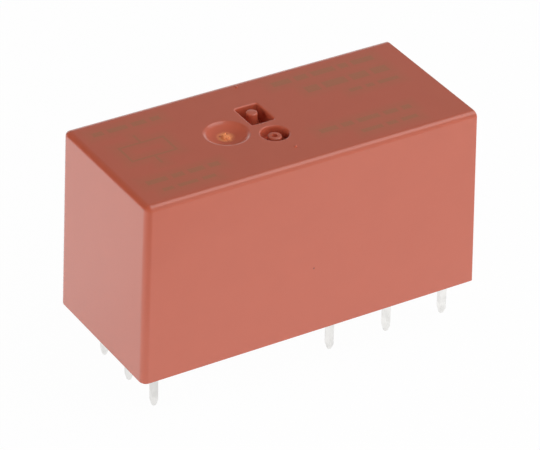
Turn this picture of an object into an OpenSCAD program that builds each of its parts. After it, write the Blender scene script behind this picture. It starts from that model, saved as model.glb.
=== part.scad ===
// Sealed two-pole latching relay for circuit boards, in millimetres.
// X runs along the case from the coil end to the contact end, Y from the front row of pins to the rear row.
// Z is up, from the board that the standoff feet rest on.

/* [Case] */
// Length of the case at its rim
case_length = 28.4; // [25.5:0.1:31]
// Width of the case at its rim
case_width = 12.6; // [12:0.1:15]
// Height of the case from its rim to the top
case_height = 14.7; // [13.5:0.1:18]
// Height of the rim above the board
standoff = 0.4; // [0.2:0.05:1]
// Thickness of the case walls
wall = 0.65; // [0.5:0.05:0.75]
// Thickness of the roof
roof = 0.9; // [0.7:0.05:1.2]
// Draft of the two ends, in degrees
end_draft = 1.5; // [0:0.1:1.8]
// Draft of the two long sides, in degrees
side_draft = 0.25; // [0:0.05:0.8]
// Reach of the rounded corners along the case at the coil end
edge_along = 0.5; // [0.3:0.05:1.5]
// Reach of the crisper corners along the case at the contact end
edge_contact = 0.2; // [0.1:0.05:1]
// Reach of the rounded corners across the case
edge_across = 0.6; // [0.2:0.05:1.2]
// Reach of the rounded top edge down the walls
edge_down = 0.4; // [0.2:0.05:1.2]
// Rounding of the inner corners
inner_edge = 0.3; // [0.1:0.05:0.5]
// Width of the ledge along the long walls that the base stops against
ledge = 0.3; // [0.15:0.05:0.5]

/* [Roof details] */
// Length of the vent pocket along the case
vent_length = 1.9; // [1.4:0.05:2.4]
// Width of the vent pocket across the case
vent_width = 2.6; // [2:0.05:3]
// Depth of the vent pocket
vent_depth = 1.2; // [0.8:0.05:1.6]
// Place of the vent pocket along the case
vent_x = -0.63; // [-2:0.01:1]
// Place of the vent pocket across the case
vent_y = 1.46; // [1.2:0.01:2]
// Corner radius of the vent pocket
vent_corner = 0.2; // [0.1:0.05:0.4]
// Diameter of the vent nib, which is cut off to open the vent
nib_d = 0.88; // [0.6:0.02:1.2]
// Distance from the centre of the pocket to the nib
nib_offset = 0.39; // [0:0.01:0.5]
// Diameter of the gate dish
gate_d = 3.5; // [2.5:0.1:4]
// Depth of the gate dish
gate_depth = 0.5; // [0.3:0.05:0.8]
// Place of the gate dish along the case
gate_x = -3.75; // [-5:0.05:-3.4]
// Place of the gate dish across the case
gate_y = 0.1; // [-1:0.05:1]
// Diameter of the broken gate in the dish
gate_stub_d = 0.8; // [0.6:0.05:1.6]
// Height of the broken gate in the dish
gate_stub = 0.35; // [0.1:0.05:0.4]
// Diameter of the round recess
recess_d = 2.1; // [1.6:0.05:2.4]
// Depth of the round recess
recess_depth = 0.8; // [0.5:0.05:1.1]
// Place of the round recess along the case
recess_x = -0.73; // [-2:0.01:1]
// Place of the round recess across the case
recess_y = -1.58; // [-2.5:0.01:-1.4]
// Diameter of the boss in the round recess
boss_d = 1.1; // [0.7:0.05:1.3]
// Depth of the top of the boss below the roof
boss_drop = 0.2; // [0.1:0.05:0.4]
// Diameter of the dimple in the boss
dimple_d = 0.35; // [0.2:0.05:0.5]
// Depth of the dimple in the boss
dimple_depth = 0.2; // [0.1:0.05:0.3]
// Thickness of plastic around and under the roof's pockets
pocket_wall = 0.45; // [0.35:0.05:0.6]

/* [Pins] */
// Distance between contact pins along a row
pin_pitch = 5; // [4.6:0.1:5.1]
// Distance between the two rows of pins
row_spacing = 7.5; // [7:0.1:8]
// Distance from the coil end of the case to the coil pins
coil_pin_inset = 2.33; // [2:0.01:2.6]
// Distance from the contact end of the case to the last contact pins
contact_pin_inset = 1.07; // [1:0.01:1.6]
// Length of the pins below the board's top face
pin_drop = 3.6; // [2.5:0.1:5]
// Thickness of the contact terminals
blade_thickness = 0.4; // [0.3:0.05:0.45]
// Width of the contact pins
pin_width = 0.7; // [0.5:0.05:1]
// Side of the square coil pins
coil_pin = 0.5; // [0.4:0.05:0.7]
// Length of the tapered tip of a pin
tip_length = 0.5; // [0.3:0.05:1]
// Width left at the end of a tip
tip_width = 0.25; // [0.1:0.05:0.3]

/* [Base] */
// Thickness of the base plate
base_thickness = 1.25; // [0.9:0.05:1.6]
// Depth of the recess under the base plate
seal_depth = 0.55; // [0.4:0.05:0.8]
// Thickness of the resin in that recess
seal_fill = 0.3; // [0.15:0.05:0.4]
// Diameter of the standoff feet
foot_d = 1.4; // [1:0.1:1.8]
// Distance from the coil pins to the first feet
foot_offset = 5; // [3:0.1:8]
// Height of the block that holds the coil pins
coil_block = 2.4; // [1.5:0.1:3]
// Height of the coil pins above that block
coil_post = 2; // [1.5:0.1:2.5]
// Thickness of the barrier between the coil and the contacts
barrier = 0.7; // [0.5:0.05:0.9]
// Thickness of the wall between the two poles
divider = 0.8; // [0.5:0.05:1.2]
// Height of the shelf that carries the make terminals
shelf = 2; // [1.6:0.1:2.4]
// Thickness of the ribs beside the yoke
yoke_rib = 0.6; // [0.4:0.05:0.8]
// Height of the ribs beside the yoke
yoke_rib_height = 0.8; // [0.5:0.05:1]

/* [Magnet] */
// Thickness of the yoke
yoke_thickness = 1.1; // [0.8:0.05:1.4]
// Width of the yoke and the armature
yoke_width = 7.4; // [6:0.1:7.8]
// Depth of the two windings on the bobbin
winding_depth = 1.4; // [1:0.05:1.7]
// Diameter of the core's end that is staked in the yoke
stake_d = 2.8; // [2.2:0.1:3]
// Diameter of the pole shoe
pole_d = 6.2; // [5.2:0.1:6.8]
// Thickness of the pole shoe
pole_thickness = 0.8; // [0.5:0.05:1.1]
// Wall of the bobbin's tube
bobbin_wall = 0.5; // [0.35:0.05:0.7]
// Thickness of the bobbin's flanges
flange = 0.7; // [0.5:0.05:1]
// Diameter of the lead wires
lead_d = 0.3; // [0.2:0.02:0.36]
// Thickness of the armature
armature_thickness = 1.1; // [0.9:0.05:1.3]
// Width of the armature's tongue in the card
armature_tongue = 3; // [2:0.1:4]
// Swing of the armature from its open stop to the pole, in degrees
armature_swing = 4.5; // [3.5:0.1:5]
// Thickness of the armature spring
spring_thickness = 0.15; // [0.1:0.01:0.2]
// Width of the armature spring
spring_width = 3; // [2:0.1:4]

/* [Contacts] */
// Thickness of the card
card_thickness = 0.8; // [0.6:0.05:1]
// Width of the rim around the card's slots
card_rim = 0.7; // [0.5:0.05:0.8]
// Thickness of the contact leaves
leaf_thickness = 0.2; // [0.12:0.01:0.25]
// Width of the contact leaves
leaf_width = 3.4; // [2.8:0.1:3.8]
// Width of the tip of a leaf in the card
leaf_tongue = 1.6; // [1.2:0.1:2]
// Inner radius of the bend at the root of a leaf
leaf_bend = 0.4; // [0.3:0.05:0.6]
// Length of the foot of a leaf
leaf_foot = 1.6; // [1.4:0.05:1.7]
// Diameter of the contacts
contact_d = 2.6; // [2:0.1:3]
// Height of a contact's head
contact_head = 0.5; // [0.35:0.05:0.6]
// Radius of a contact's domed face
contact_dome = 6; // [4:0.5:10]
// Distance of the contacts below the card
contact_drop = 2.8; // [2.4:0.1:3.4]
// Diameter of a contact's shank
shank_d = 1.2; // [0.8:0.05:1.4]
// Diameter of the rivet that holds a leaf
rivet_d = 0.9; // [0.6:0.05:1.1]

/* [Hidden] */
$fn = 48;
corner_facets = 32;
dome_facets = 240;
front = -1;
rear = 1;

// Clearances
fit = 0.03;
cut = 1;
seed = 0.01;
blade_gap = 0.45;
coil_gap = 0.6;
card_gap = 0.3;
tongue_gap = 0.25;
tongue_proud = 0.12;
shoulder_gap = 0.12;
slot_gap = 0.06;
barrier_gap = 0.5;
armature_gap = 0.1;
touch_gap = 0.02;
make_gap = 0.04;
pin_web = 0.18;
coil_pin_web = 0.45;
yoke_gap = 0.1;
winding_lip = 0.2;
lead_slot = 0.5;
lead_gap = 0.05;
lead_knot = 0.03;
tie_drop = 0.5;
spring_gap = 0.25;
stub_draft = 0.12;

// Levels above the board
rim_z = standoff;
top_z = rim_z + case_height;
roof_z = top_z - roof;
base_z = rim_z + seal_depth;
deck_z = base_z + base_thickness;
shelf_z = deck_z + shelf;
pocket_z = top_z - vent_depth - pocket_wall;
dish_r = (pow(gate_d / 2, 2) + pow(gate_depth, 2)) / (2 * gate_depth);
tongue_z = pocket_z - tongue_gap;
card_z = tongue_z - tongue_proud - card_thickness;
card_mid = card_z + card_thickness / 2;
shoulder_z = card_z - shoulder_gap;
contact_z = card_z - contact_drop;
blade_margin = 0.6;
blade_bend = blade_thickness / 2;
blade_top = contact_z + contact_d / 2 + blade_margin;
barrier_top = card_z - barrier_gap;

// Faces of the drafted case at a height
function end_x(z) = case_length / 2 - tan(end_draft) * (z - rim_z);
function side_y(z) = case_width / 2 - tan(side_draft) * (z - rim_z);
channel_y = side_y(roof_z) - wall - ledge;
base_x = end_x(deck_z) - wall - fit;
base_y = side_y(deck_z) - wall - fit;

// Places of the pins
coil_x = coil_pin_inset - case_length / 2;
break_x = case_length / 2 - contact_pin_inset;
common_x = break_x - pin_pitch;
make_x = common_x - pin_pitch;
row_y = row_spacing / 2;
pole_y = (divider / 2 + channel_y) / 2;
blade_width = channel_y - divider / 2 - 2 * blade_gap;
feet_x = [coil_x + foot_offset, (common_x + break_x) / 2];

// Armature, hinged on the round heel that stands against the end of the yoke
barrier_x = make_x - blade_thickness / 2 - pin_web - barrier;
yoke_z = deck_z + fit;
yoke_top = yoke_z + yoke_thickness;
hinge_z = yoke_z + armature_thickness / 2;
armature_lean = (barrier_top - hinge_z) * tan(armature_swing);
hinge_x = barrier_x - armature_gap - armature_thickness / 2 / cos(armature_swing) - armature_lean;
pole_x = hinge_x - armature_thickness / 2 - fit;
spring_slot_depth = 0.7;
spring_rise = 1.4;
spring_flare = 0.6;
spring_x = barrier_x - spring_gap;
spring_press_z = hinge_z + spring_rise;
spring_press_x = hinge_x + armature_thickness / 2 / cos(armature_swing) + spring_rise * tan(armature_swing)
    + spring_thickness / 2 + fit;

// Coil, between the yoke and the card
coil_block_x = coil_x + coil_pin / 2 + coil_pin_web;
yoke_x = coil_block_x + yoke_gap;
yoke_bend = 3 * fit;
bobbin_x0 = yoke_x + yoke_thickness + fit;
bobbin_x1 = pole_x - pole_thickness - fit;
flange_low = yoke_top + fit;
flange_top = card_z - card_gap;
coil_z = (flange_low + flange_top) / 2;
flange_half = (flange_top - flange_low) / 2;
flange_y = channel_y - coil_gap;
winding_r = min(flange_half, flange_y) - winding_lip;
tube_r = winding_r - winding_depth;
core_d = 2 * (tube_r - bobbin_wall - fit);
layer_r = (tube_r + winding_r) / 2;
lead_y = flange_y + lead_gap + lead_d / 2;
lead_z = flange_top + lead_gap + lead_d / 2;
knot_d = lead_d + lead_knot;
block_z = deck_z + coil_block;
post_z = block_z + coil_post;
tie_z = post_z - tie_drop;

// Contacts: the armature's swing moves the card, and the card moves the leaves
card_travel = (card_mid - hinge_z) * tan(armature_swing);
card_slot_x = hinge_x + card_travel;
leaf_pivot_x = common_x - leaf_thickness / 2 - leaf_bend;
leaf_pivot_z = deck_z + blade_thickness + leaf_thickness + leaf_bend;
leaf_swing = asin(card_travel / (card_mid - leaf_pivot_z));
contact_gap = (contact_z - leaf_pivot_z) * sin(leaf_swing) + make_gap;
head_x = leaf_thickness / 2 + contact_head;
make_face = common_x - head_x - contact_gap - contact_head;
break_face = common_x + head_x + touch_gap + contact_head;
leaf_run = leaf_foot + leaf_bend + leaf_thickness;
leaf_end = common_x + leaf_thickness / 2 - leaf_run;
rivet_x = leaf_end + leaf_foot / 2;
rivet_head = 0.3;
rivet_lip = 0.27;
tail_lip = 0.3;
tail_d = shank_d + 2 * tail_lip;
tail = 0.2;

case_red = [0.72, 0.38, 0.3];
base_red = [0.62, 0.32, 0.26];
resin_amber = [0.5, 0.32, 0.16];
bobbin_black = [0.12, 0.12, 0.13];
copper = [0.78, 0.42, 0.22];
iron = [0.62, 0.63, 0.64];
spring_bronze = [0.76, 0.62, 0.38];
contact_silver = [0.86, 0.86, 0.84];
tinned = [0.9, 0.9, 0.88];
card_white = [0.9, 0.88, 0.82];

// Flat shapes

// Rectangle about the origin with round corners
module round_rect(length, width, r) {
    square([length - 2 * r, width], center = true);
    square([length, width - 2 * r], center = true);
    for (sx = [-1, 1], sy = [-1, 1]) {
        translate([sx * (length / 2 - r), sy * (width / 2 - r)]) circle(r = r);
    }
}

// Bent strip: a run that ends at the outer corner at the origin, and a rise from there
module angle_profile(run, rise, thickness, r) {
    bend = r + thickness;
    difference() {
        translate([-run, 0]) square([run, rise]);
        translate([-run - cut, thickness]) square([run - bend + cut, rise + cut]);
        translate([-bend - cut, bend]) square([r + cut, rise]);
        translate([-bend, bend]) circle(r = r);
        translate([-bend, 0]) difference() {
            square(bend);
            translate([0, bend]) circle(r = bend);
        }
    }
}

// Strip that follows a list of points
module strip(points, thickness) {
    for (i = [0 : len(points) - 2]) {
        step = points[i + 1] - points[i];
        translate(points[i])
            rotate(atan2(step[1], step[0]))
                translate([0, -thickness / 2]) square([norm(step), thickness]);
    }
    for (p = points) {
        translate(p) circle(d = thickness);
    }
}

// Turns a flat XZ profile into a strip of a width across the case, about the Y of a pole
module across(width, y = 0) {
    translate([0, y, 0]) rotate([90, 0, 0]) linear_extrude(width, center = true) children();
}

// Turns a flat YZ outline into a plate of a thickness along the case, about an X
module along(thickness, x = 0) {
    translate([x, 0, 0]) rotate([90, 0, 90]) linear_extrude(thickness, center = true) children();
}

// Solid shapes that repeat

// Block with the draft of the case, set in from its faces, with rounded corners and top edges
module drafted_block(inset_x, inset_y, low, high, coil_rx, contact_rx, ry, rz) {
    hull() {
        for (sx = [-1, 1], sy = [-1, 1]) {
            rx = sx < 0 ? coil_rx : contact_rx;
            translate([sx * (end_x(low) - inset_x - rx), sy * (side_y(low) - inset_y - ry), low])
                scale([rx, ry, 1]) cylinder(r = 1, h = seed, $fn = corner_facets);
            translate([
                sx * (end_x(high - rz) - inset_x - rx),
                sy * (side_y(high - rz) - inset_y - ry),
                high - rz
            ]) scale([rx, ry, rz]) sphere(r = 1, $fn = corner_facets);
        }
    }
}

// Pin about the origin with a tip that tapers on all four sides
module pin(size_x, size_y, height) {
    intersection() {
        along(size_x) pin_outline(size_y, height);
        across(size_y) pin_outline(size_x, height);
    }
}

module pin_outline(size, height) {
    polygon([
        [-size / 2, height],
        [-size / 2, tip_length - pin_drop],
        [-tip_width / 2, -pin_drop],
        [tip_width / 2, -pin_drop],
        [size / 2, tip_length - pin_drop],
        [size / 2, height]
    ]);
}

// Half section of a contact's domed head, its flat back at the origin
module head_profile() {
    intersection() {
        square([contact_d / 2, contact_head]);
        translate([0, contact_head - contact_dome]) circle(r = contact_dome, $fn = dome_facets);
    }
}

// Contact riveted in a terminal whose near face is at the origin, facing +X
module fixed_contact() {
    shank = blade_thickness + fit;
    rotate([0, 90, 0]) rotate_extrude() {
        head_profile();
        translate([0, -shank]) square([shank_d / 2, shank + fit]);
        translate([0, -shank - tail]) square([tail_d / 2, tail]);
    }
}

// Lead wire through a list of points
module lead(points) {
    for (i = [0 : len(points) - 2]) {
        step = points[i + 1] - points[i];
        translate(points[i])
            rotate([0, acos(step[2] / norm(step)), atan2(step[1], step[0])])
                cylinder(d = lead_d, h = norm(step), $fn = 8);
    }
    for (p = points) {
        translate(p) sphere(d = knot_d, $fn = 8);
    }
}

// Layer of winding on the bobbin
module winding_layer(inner_r, outer_r, x0, x1) {
    translate([x0, 0, coil_z]) rotate([0, 90, 0]) difference() {
        cylinder(r = outer_r, h = x1 - x0);
        translate([0, 0, -cut]) cylinder(r = inner_r, h = x1 - x0 + 2 * cut);
    }
}

// Slots that every pin needs in the base and in the resin
module pin_slots(low, high) {
    for (y = [-row_y, 0, row_y]) {
        translate([coil_x, y, (low + high) / 2])
            cube([coil_pin + 2 * fit, coil_pin + 2 * fit, high - low], center = true);
    }
    for (x = [make_x, common_x], y = [-row_y, row_y]) {
        translate([x, y, (low + high) / 2])
            cube([blade_thickness + 2 * fit, pin_width + 2 * fit, high - low], center = true);
    }
    for (y = [-row_y, row_y]) {
        translate([break_x - blade_thickness / 2 - fit, y - pin_width / 2 - fit, low])
            cube([base_x - break_x + blade_thickness + cut, pin_width + 2 * fit, high - low]);
    }
}

// Case

module cover() {
    color(case_red) difference() {
        union() {
            difference() {
                drafted_block(0, 0, rim_z, top_z, edge_along, edge_contact, edge_across, edge_down);
                drafted_block(wall, wall, rim_z - cut, deck_z + fit, inner_edge, inner_edge, inner_edge, seed);
                drafted_block(
                    wall, wall + ledge, deck_z, roof_z, inner_edge, inner_edge, inner_edge, inner_edge
                );
            }
            pocket_linings();
        }
        roof_pockets();
    }
    color(case_red) roof_studs();
}

module pocket_linings() {
    lined = 2 * pocket_wall;
    translate([vent_x, vent_y, pocket_z])
        linear_extrude(roof_z - pocket_z + roof / 2)
            round_rect(vent_length + lined, vent_width + lined, vent_corner + pocket_wall);
    translate([gate_x, gate_y, top_z - gate_depth - pocket_wall])
        cylinder(d = gate_d + lined, h = gate_depth);
    translate([recess_x, recess_y, top_z - recess_depth - pocket_wall])
        cylinder(d = recess_d + lined, h = recess_depth);
}

module roof_pockets() {
    translate([vent_x, vent_y, top_z - vent_depth])
        linear_extrude(vent_depth + cut) round_rect(vent_length, vent_width, vent_corner);
    translate([gate_x, gate_y, top_z - gate_depth + dish_r]) sphere(r = dish_r);
    translate([recess_x, recess_y, top_z - recess_depth]) cylinder(d = recess_d, h = recess_depth + cut);
}

module roof_studs() {
    translate([vent_x, vent_y + nib_offset, top_z - vent_depth - fit])
        cylinder(d = nib_d, h = vent_depth + fit);
    translate([gate_x, gate_y, top_z - gate_depth - fit])
        cylinder(d1 = gate_stub_d, d2 = gate_stub_d - 2 * stub_draft, h = gate_stub + fit);
    translate([recess_x, recess_y, top_z - recess_depth - fit]) difference() {
        cylinder(d = boss_d, h = recess_depth - boss_drop + fit);
        translate([0, 0, recess_depth - boss_drop + fit - dimple_depth])
            cylinder(d = dimple_d, h = dimple_depth + cut);
    }
}

// Base and seal

module base() {
    color(base_red) difference() {
        union() {
            translate([0, 0, base_z])
                linear_extrude(base_thickness) round_rect(2 * base_x, 2 * base_y, inner_edge);
            base_walls();
            for (x = feet_x, side = [front, rear]) {
                translate([x, side * row_y, 0]) cylinder(d = foot_d, h = base_z + fit);
            }
        }
        pin_slots(base_z - cut, max(block_z, shelf_z) + cut);
        translate([0, 0, deck_z - spring_slot_depth]) armature_spring_slot();
    }
}

module base_walls() {
    block_y = 2 * (channel_y - fit);
    inner_x = end_x(top_z) - wall - fit;
    // Block that holds the coil pins
    translate([-inner_x, -block_y / 2, deck_z - fit])
        cube([inner_x + coil_block_x, block_y, coil_block + fit]);
    // Barrier between the coil and the contacts
    translate([barrier_x, -block_y / 2, deck_z - fit]) cube([barrier, block_y, barrier_top - deck_z + fit]);
    // Wall between the poles
    translate([barrier_x, -divider / 2, deck_z - fit])
        cube([inner_x - barrier_x, divider, barrier_top - deck_z + fit]);
    // Shelf under the make terminals
    translate([barrier_x, -block_y / 2, deck_z - fit])
        cube([make_face - blade_thickness - blade_gap - barrier_x, block_y, shelf + fit]);
    // Ribs beside the yoke
    for (side = [front, rear]) {
        translate([yoke_x, side * (yoke_width + yoke_rib + 2 * fit) / 2 - yoke_rib / 2, deck_z - fit])
            cube([pole_x - yoke_x - 2 * fit, yoke_rib, yoke_rib_height + fit]);
    }
}

module sealing_resin() {
    low = base_z - seal_fill;
    color(resin_amber) difference() {
        translate([0, 0, low]) linear_extrude(seal_fill) round_rect(2 * base_x, 2 * base_y, inner_edge);
        pin_slots(low - cut, base_z + cut);
        for (x = feet_x, side = [front, rear]) {
            translate([x, side * row_y, low - cut]) cylinder(d = foot_d + 2 * fit, h = seal_fill + 2 * cut);
        }
    }
}

// Coil

module coil_terminal(y) {
    color(tinned) translate([coil_x, y, 0]) pin(coil_pin, coil_pin, post_z);
}

module bobbin() {
    color(bobbin_black) difference() {
        union() {
            for (x = [bobbin_x0 + flange / 2, bobbin_x1 - flange / 2]) {
                along(flange, x) translate([0, coil_z])
                    round_rect(2 * flange_y, 2 * flange_half, inner_edge);
            }
            translate([bobbin_x0, 0, coil_z])
                rotate([0, 90, 0]) cylinder(r = tube_r, h = bobbin_x1 - bobbin_x0);
        }
        translate([bobbin_x0 - cut, 0, coil_z])
            rotate([0, 90, 0]) cylinder(d = core_d + 2 * fit, h = bobbin_x1 - bobbin_x0 + 2 * cut);
    }
}

// Inner winding, with leads to the front and the middle coil pin
module set_winding() {
    x0 = bobbin_x0 + flange + fit;
    x1 = bobbin_x1 - flange - fit;
    lead_x = x0 + lead_slot / 2;
    start_y = layer_r - lead_d;
    tie = (coil_pin + knot_d) / 2 + fit;
    color(copper) {
        winding_layer(tube_r + fit, layer_r, x0, x1);
        lead([
            [lead_x, -start_y, coil_z],
            [lead_x, -lead_y, coil_z],
            [coil_x, -lead_y, tie_z],
            [coil_x, -row_y - tie, tie_z]
        ]);
        lead([
            [lead_x, -tie, coil_z + start_y],
            [lead_x, -tie, lead_z],
            [coil_x, -tie, lead_z],
            [coil_x, -tie, tie_z]
        ]);
    }
}

// Outer winding, with leads to the middle and the rear coil pin
module reset_winding() {
    x0 = bobbin_x0 + flange + fit + lead_slot;
    x1 = bobbin_x1 - flange - fit;
    lead_x = x0 + lead_slot / 2;
    start_y = winding_r - lead_d;
    tie = (coil_pin + knot_d) / 2 + fit;
    color(copper) {
        winding_layer(layer_r + fit, winding_r, x0, x1);
        lead([
            [lead_x, start_y, coil_z],
            [lead_x, lead_y, coil_z],
            [coil_x, lead_y, tie_z],
            [coil_x, row_y + tie, tie_z]
        ]);
        lead([
            [lead_x, tie, coil_z + start_y],
            [lead_x, tie, lead_z],
            [coil_x, tie, lead_z],
            [coil_x, tie, tie_z]
        ]);
    }
}

module core() {
    color(iron) translate([0, 0, coil_z]) rotate([0, 90, 0]) {
        translate([0, 0, yoke_x]) cylinder(d = stake_d, h = yoke_thickness + fit);
        translate([0, 0, yoke_x + yoke_thickness])
            cylinder(d = core_d, h = pole_x - yoke_x - yoke_thickness - pole_thickness / 2);
        translate([0, 0, pole_x - pole_thickness]) cylinder(d = pole_d, h = pole_thickness);
    }
}

// Angle of sheet iron: a leg with the staked core, and a run under the coil to the armature
module yoke() {
    rise = coil_z + stake_d / 2 + yoke_thickness - yoke_z;
    color(iron) difference() {
        translate([yoke_x, 0, yoke_z]) across(yoke_width) mirror([1, 0])
            angle_profile(pole_x - yoke_x, rise, yoke_thickness, yoke_bend);
        translate([yoke_x - cut, 0, coil_z])
            rotate([0, 90, 0]) cylinder(d = stake_d + 2 * fit, h = yoke_thickness + 2 * cut);
    }
}

module armature() {
    shoulder = shoulder_z - hinge_z;
    chamfer = armature_thickness / 2;
    color(iron) translate([hinge_x, 0, hinge_z]) rotate([0, armature_swing, 0]) {
        rotate([90, 0, 0]) cylinder(d = armature_thickness, h = yoke_width, center = true);
        along(armature_thickness) polygon([
            [-yoke_width / 2, 0],
            [yoke_width / 2, 0],
            [yoke_width / 2, shoulder - chamfer],
            [yoke_width / 2 - chamfer, shoulder],
            [armature_tongue / 2, shoulder],
            [armature_tongue / 2, tongue_z - hinge_z],
            [-armature_tongue / 2, tongue_z - hinge_z],
            [-armature_tongue / 2, shoulder],
            [chamfer - yoke_width / 2, shoulder],
            [-yoke_width / 2, shoulder - chamfer]
        ]);
    }
}

// Leaf in a slot of the base that keeps the heel of the armature against the yoke
module armature_spring() {
    color(spring_bronze) across(spring_width) strip([
        [spring_x, deck_z - spring_slot_depth + spring_thickness / 2],
        [spring_x, deck_z + spring_thickness],
        [spring_press_x, spring_press_z],
        [spring_x, spring_press_z + spring_flare]
    ], spring_thickness);
}

module armature_spring_slot() {
    translate([spring_x - spring_thickness / 2 - fit, -spring_width / 2 - fit, 0])
        cube([spring_thickness + 2 * fit, spring_width + 2 * fit, spring_slot_depth + fit]);
}

// Slider on the armature's shoulders and the leaves' shoulders
module card() {
    tongue_half = armature_thickness / 2 / cos(armature_swing)
        + card_thickness / 2 * tan(armature_swing) + slot_gap;
    leaf_half = leaf_thickness / 2 + card_thickness / 2 * tan(leaf_swing) + slot_gap;
    head_y = armature_tongue / 2 + slot_gap + card_rim;
    arm_y = pole_y + leaf_tongue / 2 + slot_gap + card_rim;
    x0 = card_slot_x - tongue_half - card_rim;
    x1 = common_x + leaf_half + card_rim;
    bar_x = common_x - leaf_half - card_rim;
    neck_x = card_slot_x + tongue_half + card_rim;
    color(card_white) translate([0, 0, card_z]) linear_extrude(card_thickness) difference() {
        polygon([
            [x0, -head_y],
            [neck_x, -head_y],
            [bar_x, -arm_y],
            [x1, -arm_y],
            [x1, arm_y],
            [bar_x, arm_y],
            [neck_x, head_y],
            [x0, head_y]
        ]);
        translate([card_slot_x - tongue_half, -armature_tongue / 2 - slot_gap])
            square([2 * tongue_half, armature_tongue + 2 * slot_gap]);
        for (side = [front, rear]) {
            translate([common_x - leaf_half, side * pole_y - leaf_tongue / 2 - slot_gap])
                square([2 * leaf_half, leaf_tongue + 2 * slot_gap]);
        }
        // Window that lightens the card
        translate([(neck_x + bar_x) / 2, 0])
            round_rect(bar_x - neck_x, 2 * head_y - 2 * card_rim, card_rim);
    }
}

// Contact set of one pole

// Outline of an upright terminal with clipped upper corners
module upright_outline(low) {
    clip = blade_margin;
    half = blade_width / 2;
    polygon([
        [-half, low],
        [half, low],
        [half, blade_top - clip],
        [half - clip, blade_top],
        [clip - half, blade_top],
        [-half, blade_top - clip]
    ]);
}

module make_terminal(side) {
    run = make_face - make_x + blade_thickness / 2;
    color(tinned) {
        difference() {
            intersection() {
                translate([make_face, 0, shelf_z]) across(blade_width, side * pole_y)
                    angle_profile(run, blade_top - shelf_z, blade_thickness, blade_bend);
                along(case_length) translate([side * pole_y, 0]) upright_outline(shelf_z);
            }
            translate([make_face - blade_thickness - cut, side * pole_y, contact_z])
                rotate([0, 90, 0]) cylinder(d = shank_d + 2 * fit, h = blade_thickness + 2 * cut);
        }
        translate([make_x, side * row_y, 0]) pin(blade_thickness, pin_width, shelf_z + blade_thickness);
    }
}

module break_terminal(side) {
    run = break_x - break_face + blade_thickness / 2;
    color(tinned) {
        difference() {
            intersection() {
                translate([break_face, 0, deck_z]) across(blade_width, side * pole_y) mirror([1, 0])
                    angle_profile(run, blade_top - deck_z, blade_thickness, blade_bend);
                along(case_length * 2) translate([side * pole_y, 0]) upright_outline(deck_z);
            }
            translate([break_face - cut, side * pole_y, contact_z])
                rotate([0, 90, 0]) cylinder(d = shank_d + 2 * fit, h = blade_thickness + 2 * cut);
        }
        translate([break_x, side * row_y, 0]) pin(blade_thickness, pin_width, deck_z + blade_thickness);
    }
}

module common_terminal(side) {
    foot_x = leaf_end - fit;
    color(tinned) {
        difference() {
            translate([foot_x, side * pole_y - blade_width / 2, deck_z])
                cube([common_x + blade_thickness / 2 - foot_x, blade_width, blade_thickness]);
            translate([rivet_x, side * pole_y, deck_z - cut])
                cylinder(d = rivet_d + 2 * fit, h = blade_thickness + 2 * cut);
        }
        translate([common_x, side * row_y, 0]) pin(blade_thickness, pin_width, deck_z + blade_thickness);
    }
}

module make_contact(side) {
    color(contact_silver) translate([make_face, side * pole_y, contact_z]) fixed_contact();
}

module break_contact(side) {
    color(contact_silver) translate([break_face, side * pole_y, contact_z])
        mirror([1, 0, 0]) fixed_contact();
}

module contact_leaf(side) {
    foot_z = deck_z + blade_thickness;
    half = leaf_width / 2;
    color(spring_bronze) difference() {
        intersection() {
            translate([common_x + leaf_thickness / 2, 0, foot_z]) across(leaf_width, side * pole_y)
                angle_profile(leaf_run, tongue_z - foot_z, leaf_thickness, leaf_bend);
            along(case_length) translate([side * pole_y, 0]) polygon([
                [-half, foot_z],
                [half, foot_z],
                [half, shoulder_z],
                [leaf_tongue / 2, shoulder_z],
                [leaf_tongue / 2, tongue_z],
                [-leaf_tongue / 2, tongue_z],
                [-leaf_tongue / 2, shoulder_z],
                [-half, shoulder_z]
            ]);
        }
        translate([common_x - cut, side * pole_y, contact_z])
            rotate([0, 90, 0]) cylinder(d = shank_d + 2 * fit, h = 2 * cut);
        translate([rivet_x, side * pole_y, foot_z - cut])
            cylinder(d = rivet_d + 2 * fit, h = leaf_thickness + 2 * cut);
    }
}

// Double contact, riveted through the leaf
module moving_contact(side) {
    color(contact_silver) translate([common_x, side * pole_y, contact_z])
        rotate([0, 90, 0]) rotate_extrude() {
            translate([0, -leaf_thickness / 2 - fit]) square([shank_d / 2, leaf_thickness + 2 * fit]);
            translate([0, leaf_thickness / 2]) head_profile();
            mirror([0, 1]) translate([0, leaf_thickness / 2]) head_profile();
        }
}

module leaf_rivet(side) {
    head_z = deck_z + blade_thickness + leaf_thickness;
    color(spring_bronze) translate([rivet_x, side * pole_y, 0]) {
        translate([0, 0, deck_z]) cylinder(d = rivet_d, h = head_z - deck_z + fit);
        translate([0, 0, head_z]) cylinder(d1 = rivet_d + 2 * rivet_lip, d2 = rivet_d, h = rivet_head);
    }
}

cover();
base();
sealing_resin();
coil_terminal(-row_y);  // coil_pin_set
coil_terminal(0);  // coil_pin_common
coil_terminal(row_y);  // coil_pin_reset
bobbin();
set_winding();
reset_winding();
core();
yoke();
armature();
armature_spring();
card();
make_terminal(front);  // make_terminal_front
make_terminal(rear);  // make_terminal_rear
common_terminal(front);  // common_terminal_front
common_terminal(rear);  // common_terminal_rear
break_terminal(front);  // break_terminal_front
break_terminal(rear);  // break_terminal_rear
make_contact(front);  // make_contact_front
make_contact(rear);  // make_contact_rear
break_contact(front);  // break_contact_front
break_contact(rear);  // break_contact_rear
contact_leaf(front);  // contact_leaf_front
contact_leaf(rear);  // contact_leaf_rear
moving_contact(front);  // moving_contact_front
moving_contact(rear);  // moving_contact_rear
leaf_rivet(front);  // leaf_rivet_front
leaf_rivet(rear);  // leaf_rivet_rear
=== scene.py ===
import math

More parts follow.
